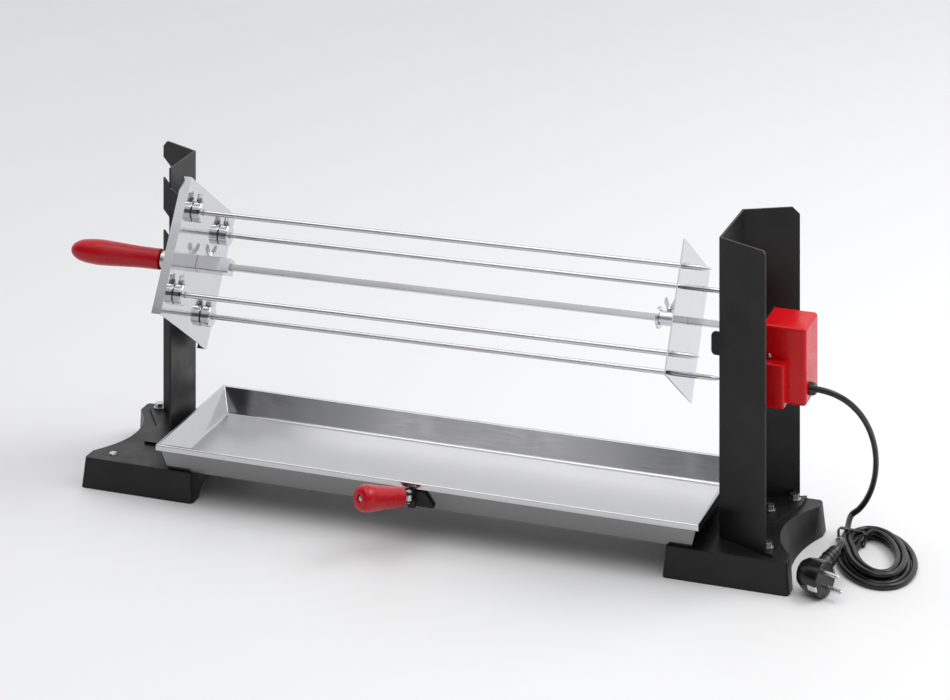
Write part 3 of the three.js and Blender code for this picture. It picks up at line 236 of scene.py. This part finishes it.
def yellow_brass():
    s = Shader("gear_brass")
    grain = s.noise(300, 4)
    base = s.blend(s.noise(60, 4), (0.62, 0.42, 0.14, 1), (0.74, 0.55, 0.24, 1))
    s.set(Base_Color=s.blend(s.edges(0.0004), base, (0.85, 0.68, 0.36, 1)), Metallic=1.0)
    s.set(Roughness=s.remap(grain, 0.3, 0.7, 0.22, 0.42))
    s.set(Normal=s.bump(grain, 0.00004, 0.5))
    return s.material


def red_lacquer():
    s = Shader("red_lacquer")
    depth = s.noise(30, 3)
    lighter_edges = s.maths("MULTIPLY", s.edges(0.0012), s.remap(s.noise(240, 4), 0.45, 0.65, 0.0, 0.8))
    base = s.blend(depth, (0.44, 0.002, 0.01, 1), (0.54, 0.004, 0.016, 1))
    s.set(Base_Color=s.blend(lighter_edges, base, (0.6, 0.05, 0.05, 1)))
    s.set(Roughness=s.remap(s.noise(60, 4), 0.3, 0.7, 0.24, 0.36), Specular_IOR_Level=0.25)
    s.set(Coat_Weight=0.2, Coat_Roughness=s.remap(s.noise(22, 3), 0.3, 0.7, 0.08, 0.2))
    s.set(Normal=s.bump(s.noise(120, 3, (0.25, 1, 1)), 0.00008, 0.4))
    return s.material


def red_plastic():
    s = Shader("red_moulded_plastic")
    # The lighter red laid on the edges is a painted highlight.
    lighter_edges = s.maths("MULTIPLY", s.edges(0.0016), 0.5)
    base = s.blend(s.noise(24, 3), (0.62, 0.003, 0.006, 1), (0.70, 0.005, 0.009, 1))
    s.set(Base_Color=s.blend(lighter_edges, base, (0.8, 0.07, 0.06, 1)))
    s.set(Roughness=s.remap(s.noise(55, 5), 0.3, 0.7, 0.24, 0.38))
    s.set(Subsurface_Weight=0.06, Subsurface_Radius=(0.004, 0.001, 0.001), Coat_Weight=0.08)
    s.set(Specular_IOR_Level=0.25)
    s.set(Normal=s.bump(s.noise(900, 2), 0.00005, 0.35, s.bump(s.noise(30, 1), 0.0003, 0.25)))
    return s.material


def black_rubber(name="black_flexible_plastic", low=0.25, high=0.38):
    s = Shader(name)
    lighter_edges = s.maths("MULTIPLY", s.edges(0.0006), 0.7)
    base = s.blend(s.noise(40, 3), grey(0.006), grey(0.011, 1.05))
    s.set(Base_Color=s.blend(lighter_edges, base, grey(0.06, 1.04)))
    s.set(Roughness=s.remap(s.noise(70, 4), 0.3, 0.7, low, high))
    s.set(Normal=s.bump(s.noise(1300, 2), 0.00004, 0.5))
    return s.material


def white_ceramic():
    s = Shader("white_terminal_plastic")
    s.set(Base_Color=s.blend(s.noise(80, 3), (0.72, 0.7, 0.64, 1), (0.8, 0.79, 0.74, 1)))
    s.set(Roughness=s.remap(s.noise(90, 4), 0.3, 0.7, 0.4, 0.6))
    s.set(Normal=s.bump(s.noise(700, 2), 0.00004, 0.4))
    return s.material


FINISHES = {
    "paint": powder_coat(),
    "sheet": polished_sheet(),
    "tray": tray_sheet(),
    "bar": polished_bar(),
    "zinc": zinc_steel(),
    "nickel": zinc_steel("nickel_plate", 0.66, 0.8),
    "brass": yellow_brass(),
    "lacquer": red_lacquer(),
    "housing": red_plastic(),
    "rubber": black_rubber(),
    "plug": black_rubber("black_moulded_plug", 0.2, 0.34),
    "ceramic": white_ceramic(),
}

# ---------------------------------------------------------------- shading of the CAD pieces


def smooth_by_angle(degrees):
    """Node group that shades faces smooth and keeps edges steeper than the angle sharp."""
    group = bpy.data.node_groups.new(f"smooth_under_{degrees}", "GeometryNodeTree")
    group.interface.new_socket("Geometry", in_out="INPUT", socket_type="NodeSocketGeometry")
    group.interface.new_socket("Geometry", in_out="OUTPUT", socket_type="NodeSocketGeometry")
    start = group.nodes.new("NodeGroupInput")
    end = group.nodes.new("NodeGroupOutput")
    angle = group.nodes.new("GeometryNodeInputMeshEdgeAngle")
    compare = group.nodes.new("FunctionNodeCompare")
    compare.data_type = "FLOAT"
    compare.operation = "LESS_THAN"
    compare.inputs[1].default_value = math.radians(degrees)
    faces = group.nodes.new("GeometryNodeSetShadeSmooth")
    faces.domain = "FACE"
    edges = group.nodes.new("GeometryNodeSetShadeSmooth")
    edges.domain = "EDGE"
    link = group.links.new
    link(start.outputs[0], faces.inputs["Geometry"])
    link(faces.outputs[0], edges.inputs["Geometry"])
    link(angle.outputs["Unsigned Angle"], compare.inputs[0])
    link(compare.outputs[0], edges.inputs["Shade Smooth"])
    link(edges.outputs[0], end.inputs[0])
    return group


SMOOTH = smooth_by_angle(34)
SHARP_ANGLE = math.radians(38)      # edges steeper than this are rounded
COPLANAR_ANGLE = math.radians(0.6)  # facets closer than this are one flat face
WELD_DISTANCE = 1e-5


def paint(obj, finish):
    obj.data.materials.clear()
    obj.data.materials.append(FINISHES[finish])


def shade(obj, edge=0.0, steps=2):
    """Merges the facets of a CAD piece, rounds its sharp edges by edge metres and shades it."""
    mesh = obj.data
    if "custom_normal" in mesh.attributes:
        mesh.attributes.remove(mesh.attributes["custom_normal"])
    obj.modifiers.new("weld", "WELD").merge_threshold = WELD_DISTANCE
    flat = obj.modifiers.new("flat faces", "DECIMATE")
    flat.decimate_type = "DISSOLVE"
    flat.angle_limit = COPLANAR_ANGLE
    if edge:
        bevel = obj.modifiers.new("edges", "BEVEL")
        bevel.width = edge
        bevel.segments = steps
        bevel.limit_method = "ANGLE"
        bevel.angle_limit = SHARP_ANGLE
        bevel.use_clamp_overlap = True
        bevel.miter_outer = "MITER_ARC"
    obj.modifiers.new("shading", "NODES").node_group = SMOOTH
    obj.modifiers.new("normals", "WEIGHTED_NORMAL").keep_sharp = True


# finish, edge rounding in millimetres
LOOKS = {
    "left_foot": ("paint", 0.9), "right_foot": ("paint", 0.9),
    "left_post": ("paint", 0.6), "right_post": ("paint", 0.6),
    "motor_bracket": ("paint", 0.5), "foot_screw": ("zinc", 0),
    "motor_housing": ("housing", 0.5), "gear_plate": ("zinc", 0.3), "motor_can": ("zinc", 0),
    "terminal_block": ("ceramic", 0.4), "output_bush": ("brass", 0), "drive_socket": ("zinc", 0),
    "output_gear": ("brass", 0), "idler_gear": ("brass", 0), "idler_axle": ("zinc", 0),
    "motor_pinion": ("zinc", 0), "spit_shaft": ("bar", 0.5), "journal_sleeve": ("zinc", 0.3),
    "left_plate": ("sheet", 0.35), "left_hub": ("sheet", 0.4), "right_plate": ("sheet", 0.35),
    "right_hub": ("sheet", 0.3), "drip_tray": ("tray", 0.5), "tray_handle_bracket": ("paint", 0.35),
    "tray_handle_pin": ("zinc", 0), "tray_handle_rod": ("zinc", 0),
    "tray_handle_screw": ("zinc", 0.2),
    "strain_relief": ("rubber", 0), "cable_tie": ("rubber", 0.3), "spit_handle": ("lacquer", 0),
    "tray_handle_grip": ("lacquer", 0), "power_cable": ("rubber", 0), "plug_body": ("plug", 0.4),
}
FAMILIES = {
    "post_bolt_": ("zinc", 0.3), "housing_screw_": ("zinc", 0.2), "gear_pillar_": ("zinc", 0.2),
    "hub_wing_screw_": ("zinc", 0.4), "skewer_wing_screw_": ("zinc", 0.4),
    "skewer_collar_": ("sheet", 0.3), "skewer_": ("bar", 0), "plug_pin_": ("nickel", 0),
    "earth_clip_": ("nickel", 0.3),
}


def look_of(name):
    if name in LOOKS:
        return LOOKS[name]
    return next(look for start, look in FAMILIES.items() if name.startswith(start))


for name, node in NODES.items():
    finish, edge = look_of(name)
    paint(node, finish)
    shade(node, edge * MM)

# ---------------------------------------------------------------- finer pieces


def new_mesh(name, corners, faces, finish, body, slot, *stands_for):
    """A piece of its own that stands for CAD nodes and moves with their body."""
    mesh = bpy.data.meshes.new(name)
    mesh.from_pydata([tuple(c) for c in corners], [], faces)
    mesh.polygons.foreach_set("use_smooth", [True] * len(faces))
    mesh.update()
    obj = bpy.data.objects.new(name, mesh)
    bpy.context.scene.collection.objects.link(obj)
    mesh.materials.append(FINISHES[finish])
    obj.modifiers.new("shading", "NODES").node_group = SMOOTH
    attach(obj, body)
    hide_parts(*stands_for)
    return obj


def tube(points, radius, sides):
    """Corners and faces of a closed tube through points, its rings carried without twist."""
    corners, faces = [], []
    ahead = (points[1] - points[0]).normalized()
    side = ahead.orthogonal().normalized()
    for i, point in enumerate(points):
        before = points[max(i - 1, 0)]
        after = points[min(i + 1, len(points) - 1)]
        ahead = (after - before).normalized()
        side = (side - ahead * side.dot(ahead)).normalized()
        up = ahead.cross(side)
        for k in range(sides):
            angle = 2 * math.pi * k / sides
            corners.append(point + (side * math.cos(angle) + up * math.sin(angle)) * radius)
    for i in range(len(points) - 1):
        for k in range(sides):
            a = i * sides + k
            b = i * sides + (k + 1) % sides
            faces.append((a, b, b + sides, a + sides))
    last = (len(points) - 1) * sides
    faces.append(tuple(reversed(range(sides))))
    faces.append(tuple(range(last, last + sides)))
    return corners, faces


def turned(origin, axis, profile, sides=64):
    """Corners and faces of a closed turned piece; profile points are (distance along axis, radius)."""
    axis = axis.normalized()
    side = axis.orthogonal().normalized()
    up = axis.cross(side)
    corners, faces = [], []
    for along, radius in profile:
        middle = origin + axis * along
        for k in range(sides):
            angle = 2 * math.pi * k / sides
            corners.append(middle + (side * math.cos(angle) + up * math.sin(angle)) * radius)
    for i in range(len(profile) - 1):
        for k in range(sides):
            a = i * sides + k
            b = i * sides + (k + 1) % sides
            faces.append((a, b, b + sides, a + sides))
    last = (len(profile) - 1) * sides
    faces.append(tuple(reversed(range(sides))))
    faces.append(tuple(range(last, last + sides)))
    return corners, faces


def soft_profile(stations, steps=6):
    """Catmull-Rom curve through (distance, radius) stations."""
    points = [Vector(s) for s in stations]
    points = [points[0] * 2 - points[1]] + points + [points[-1] * 2 - points[-2]]
    out = []
    for i in range(1, len(points) - 2):
        p0, p1, p2, p3 = points[i - 1:i + 3]
        for k in range(steps):
            t = k / steps
            out.append(0.5 * (2 * p1 + (p2 - p0) * t + (2 * p0 - 5 * p1 + 4 * p2 - p3) * t * t
                              + (3 * p1 - p0 - 3 * p2 + p3) * t ** 3))
    out.append(points[-2])
    return [(max(p.x, 0), max(p.y, 0)) for p in out]


# ---------------------------------------------------------------- mains lead


CABLE_RADIUS = 3.3
HANK_TURN = math.radians(19.6)
TIE_ANGLE = math.radians(135)
LANE = 7.3
UPPER, LOWER = 2, 3
HANK_HALF = (34, 62)
HANK_CENTRE = (486.6, 27.3)
TURN_STEPS = 26
CABLE_EXIT_Y, CABLE_EXIT_Z = -8, 193
PLUG_CENTRE = Vector((441.6, -73, 19.8))
PLUG_TURN = math.radians(-21.7)
PLUG_LEAN = math.radians(18)
NECK_LENGTH = 45


def smoothstep(low, high, value):
    t = min(max((value - low) / (high - low), 0.0), 1.0)
    return t * t * (3 - 2 * t)


def hank_point(angle, out, z):
    x = (HANK_HALF[0] + out) * math.cos(angle)
    y = (HANK_HALF[1] + out) * math.sin(angle)
    c, s = math.cos(HANK_TURN), math.sin(HANK_TURN)
    return Vector((HANK_CENTRE[0] + x * c - y * s, HANK_CENTRE[1] + x * s + y * c, z))


def lane(turn, phase):
    drift = smoothstep(0, 0.12, phase)
    lifted = smoothstep(0.93, 1, phase) + 1 - smoothstep(0, 0.07, phase)
    rise = CABLE_RADIUS + 0.1 + lifted * 1.6
    if turn < UPPER:
        sink = smoothstep(0.84, 1, phase) if turn == UPPER - 1 else 0
        return (0.5 - turn - drift - 0.5 * sink) * LANE, rise + 7.1 * (1 - sink)
    return (turn - UPPER - 2 + drift) * LANE, rise


def bezier(a, b, c, d, count):
    share = [i / count for i in range(count + 1)]
    return [a * (1 - t) ** 3 + b * 3 * t * (1 - t) ** 2 + c * 3 * t * t * (1 - t) + d * t ** 3
            for t in share]


def hank_points():
    hank = []
    for i in range((UPPER + LOWER) * TURN_STEPS + 1):
        turn = min(i // TURN_STEPS, UPPER + LOWER - 1)
        out, z = lane(turn, i / TURN_STEPS - turn)
        hank.append(hank_point(TIE_ANGLE + 2 * math.pi * i / TURN_STEPS, out, z))
    return hank


def cable_path():
    """Knots from inside the housing, down to the hank, round it and into the plug's neck."""
    hank = hank_points()
    arriving = hank[0] - (hank[1] - hank[0]).normalized() * 32
    arriving.z = hank[0].z + 6
    start = [Vector((x, CABLE_EXIT_Y, CABLE_EXIT_Z)) for x in (413.6, 417.6, 430)]
    drop = bezier(start.pop(), Vector((505, 2, 186)), Vector((486, 96, 48)), arriving, 16)
    leaving = (hank[-1] - hank[-2]).normalized()
    neck = Vector((0, math.cos(PLUG_LEAN), math.sin(PLUG_LEAN)))
    neck = Matrix.Rotation(PLUG_TURN, 3, "Z") @ neck
    neck_end = PLUG_CENTRE + neck * NECK_LENGTH
    tail = bezier(hank[-1], hank[-1] + leaving * 34, neck_end + neck * 30, neck_end, 7)
    return start + drop + hank + tail[1:] + [neck_end - neck * 6]


def catmull(knots, spacing):
    """Centripetal Catmull-Rom curve through knots, at about the spacing."""
    ends = [knots[0] * 2 - knots[1]] + knots + [knots[-1] * 2 - knots[-2]]
    out = []
    for i in range(1, len(ends) - 2):
        p = ends[i - 1:i + 3]
        t = [0.0]
        for a, b in zip(p, p[1:]):
            t.append(t[-1] + max((b - a).length, 1e-4) ** 0.5)
        steps = max(2, round((p[2] - p[1]).length / spacing))
        for k in range(steps):
            u = t[1] + (t[2] - t[1]) * k / steps
            a1 = (p[0] * (t[1] - u) + p[1] * (u - t[0])) / (t[1] - t[0])
            a2 = (p[1] * (t[2] - u) + p[2] * (u - t[1])) / (t[2] - t[1])
            a3 = (p[2] * (t[3] - u) + p[3] * (u - t[2])) / (t[3] - t[2])
            b1 = (a1 * (t[2] - u) + a2 * (u - t[0])) / (t[2] - t[0])
            b2 = (a2 * (t[3] - u) + a3 * (u - t[1])) / (t[3] - t[1])
            out.append((b1 * (t[2] - u) + b2 * (u - t[1])) / (t[2] - t[1]))
    out.append(knots[-1])
    return out


def mains_lead():
    line = [MIDDLE + p * MM for p in catmull(cable_path(), 3.0)]
    corners, faces = tube(line, CABLE_RADIUS * MM, 18)
    new_mesh("mains_lead", corners, faces, "rubber", "frame", "black_plastic", "power_cable")


mains_lead()


# ---------------------------------------------------------------- handles

SPIT_TILT = 0.0098
SPIT_ORIGIN = (330, 6, 244.8)       # where the spit's axis meets the right post's web
GRIP_PIVOT = (-9, -101.5, 51.5)
GRIP_TURN = math.pi + math.radians(60)
GRIP_RISE = math.radians(14)


def spit_line_point(x):
    """A point on the spit's own axis, x millimetres from the right web."""
    start, y, z = SPIT_ORIGIN
    return at(start + x * math.cos(SPIT_TILT), y, z + x * math.sin(SPIT_TILT))


def long_handle():
    start = spit_line_point(-689)
    axis = spit_line_point(-700) - start
    stations = [(0.9, 11.3), (2.6, 11.9), (12, 11.9), (30, 12.2), (52, 13.3), (75, 14.4), (90, 14.0),
                (102, 12.4), (109, 10.0), (113.5, 7.2), (116.1, 4.0), (117, 0.8)]
    profile = [(0, 5.4), (0, 10.6)] + soft_profile(stations)
    scaled = [(a * MM, r * MM) for a, r in profile]
    corners, faces = turned(start, axis, scaled)
    new_mesh("turned_spit_handle", corners, faces, "lacquer", "spit", "red_handle", "spit_handle")


def tray_grip():
    pivot = at(*GRIP_PIVOT)
    level = math.cos(GRIP_RISE)
    axis = Vector((math.cos(GRIP_TURN) * level, math.sin(GRIP_TURN) * level, math.sin(GRIP_RISE)))
    stations = [(12.6, 10.2), (14, 10.9), (30, 11.6), (50, 13.4), (61, 14.2), (67, 13.5),
                (70.4, 11.6), (72, 8.6)]
    bored = [(16, 2.9), (12, 2.9), (12, 9.4)]
    recess = [(71.6, 4.2), (68.2, 4.0), (68.2, 2.9)]
    scaled = [(a * MM, r * MM) for a, r in bored + soft_profile(stations) + recess]
    corners, faces = turned(pivot, axis, scaled)
    new_mesh("turned_tray_grip", corners, faces, "lacquer", "tray_grip", "red_handle",
             "tray_handle_grip")


long_handle()
tray_grip()

# ---------------------------------------------------------------- studio


def floor_material():
    s = Shader("pale_floor")
    across = s.node("ShaderNodeSeparateXYZ")
    s.feed(across.inputs[0], s.place)
    # The floor runs from darker at the left to lighter at the right: painted shade of light falling
    # from the right.
    side = s.remap(across.outputs["X"], -1.1, 0.9, 0.0, 1.0)
    tone = s.blend(side, grey(0.70, 1.015), grey(0.86, 1.005))
    s.set(Base_Color=s.blend(s.maths("MULTIPLY", s.noise(1.2, 3), 0.3), tone, grey(0.8)))
    s.set(Roughness=s.remap(s.noise(6, 3), 0.3, 0.7, 0.5, 0.6))
    return s.material


def make_floor():
    mesh = bpy.data.meshes.new("floor")
    reach = 14.0
    corners = [(-reach, -reach, 0), (reach, -reach, 0), (reach, reach, 0), (-reach, reach, 0)]
    mesh.from_pydata(corners, [], [(0, 1, 2, 3)])
    floor = bpy.data.objects.new("floor", mesh)
    bpy.context.scene.collection.objects.link(floor)
    mesh.materials.append(floor_material())


def softbox(name, place, target, width, height, power, tint=(1, 1, 1)):
    light = bpy.data.lights.new(name, "AREA")
    light.shape = "RECTANGLE"
    light.size = width
    light.size_y = height
    light.energy = power
    light.color = tint
    lamp = bpy.data.objects.new(name, light)
    lamp.location = place
    lamp.rotation_euler = (Vector(target) - Vector(place)).to_track_quat("-Z", "Y").to_euler()
    bpy.context.scene.collection.objects.link(lamp)


def make_world():
    """Pale room for light and for the camera, dark low in front but for one pale panel."""
    world = bpy.data.worlds.new("studio")
    bpy.context.scene.world = world
    world.use_nodes = True
    tree = world.node_tree
    tree.nodes.clear()
    link = tree.links.new

    def node(kind, **settings):
        made = tree.nodes.new(kind)
        for key, value in settings.items():
            setattr(made, key, value)
        return made

    def ranged(value, low, high, out_low, out_high):
        made = node("ShaderNodeMapRange", interpolation_type="SMOOTHSTEP")
        link(value, made.inputs["Value"])
        set_range(made, low, high, out_low, out_high)
        return made.outputs["Result"]

    direction = node("ShaderNodeTexCoord").outputs["Generated"]
    split = node("ShaderNodeSeparateXYZ")
    link(direction, split.inputs[0])
    shift = ranged(split.outputs["X"], -0.4, -0.36, 0.0, 0.065)
    raised = node("ShaderNodeMath", operation="ADD")
    link(split.outputs["Z"], raised.inputs[0])
    link(shift, raised.inputs[1])
    above = ranged(raised.outputs[0], 0.65, 0.676, 0.0, 0.92)
    behind = ranged(split.outputs["Y"], -0.3, 0.15, 0.015, 0.92)
    strip_left = ranged(split.outputs["X"], -0.352, -0.325, 0.0, 1.0)
    strip_right = ranged(split.outputs["X"], -0.30, -0.262, 1.0, 0.15)
    strip = node("ShaderNodeMath", operation="MULTIPLY")
    link(strip_left, strip.inputs[0])
    link(strip_right, strip.inputs[1])
    front = node("ShaderNodeMath", operation="MAXIMUM")
    link(behind, front.inputs[0])
    link(strip.outputs[0], front.inputs[1])
    whole = node("ShaderNodeMath", operation="MAXIMUM")
    link(front.outputs[0], whole.inputs[0])
    link(above, whole.inputs[1])
    level = whole.outputs[0]
    path = node("ShaderNodeLightPath")
    seen = node("ShaderNodeMix", data_type="FLOAT")
    link(path.outputs["Is Camera Ray"], seen.inputs[0])
    link(level, seen.inputs[2])
    seen.inputs[3].default_value = 0.94
    background = node("ShaderNodeBackground")
    link(seen.outputs[0], background.inputs["Strength"])
    background.inputs["Color"].default_value = (0.985, 0.99, 1.0, 1.0)
    output = node("ShaderNodeOutputWorld")
    link(background.outputs[0], output.inputs["Surface"])


CAMERA_PLACE = (1242.8, -3405.2, 1537.6)
CAMERA_TURN = math.radians(19.566)
CAMERA_LENS = 121.28
CAMERA_SHIFT = -1.2627


def make_camera():
    """Level camera with a lens shift, so that upright edges stay upright in the picture."""
    data = bpy.data.cameras.new("camera")
    camera = bpy.data.objects.new("camera", data)
    bpy.context.scene.collection.objects.link(camera)
    data.sensor_width = 36.0
    data.lens = CAMERA_LENS
    data.clip_start = 0.05
    data.clip_end = 60.0
    camera.rotation_mode = "XYZ"
    camera.location = at(*CAMERA_PLACE)
    camera.rotation_euler = (math.pi / 2, 0, CAMERA_TURN)
    bpy.context.scene.camera = camera
    drive_shift(camera)


def drive_shift(camera):
    """Keeps the lens shift to this viewpoint: it is zero once the camera turns by quaternion."""
    camera.data.shift_y = CAMERA_SHIFT
    curve = camera.data.driver_add("shift_y")
    while curve.modifiers:
        curve.modifiers.remove(curve.modifiers[0])
    while curve.keyframe_points:
        curve.keyframe_points.remove(curve.keyframe_points[0])
    curve.driver.type = "SUM"
    mode = curve.driver.variables.new()
    mode.type = "SINGLE_PROP"
    mode.targets[0].id = camera
    mode.targets[0].data_path = "rotation_mode"
    line = curve.modifiers.new("GENERATOR")
    line.coefficients = (0.0, CAMERA_SHIFT)


make_floor()
softbox("key", (1.9, 0.9, 2.6), (0, 0, 0.1), 2.2, 1.6, 38)
softbox("top", (-0.4, -0.5, 3.0), (0, 0, 0), 2.6, 1.6, 22)
make_world()
make_camera()
bpy.context.scene.view_settings.view_transform = "Standard"
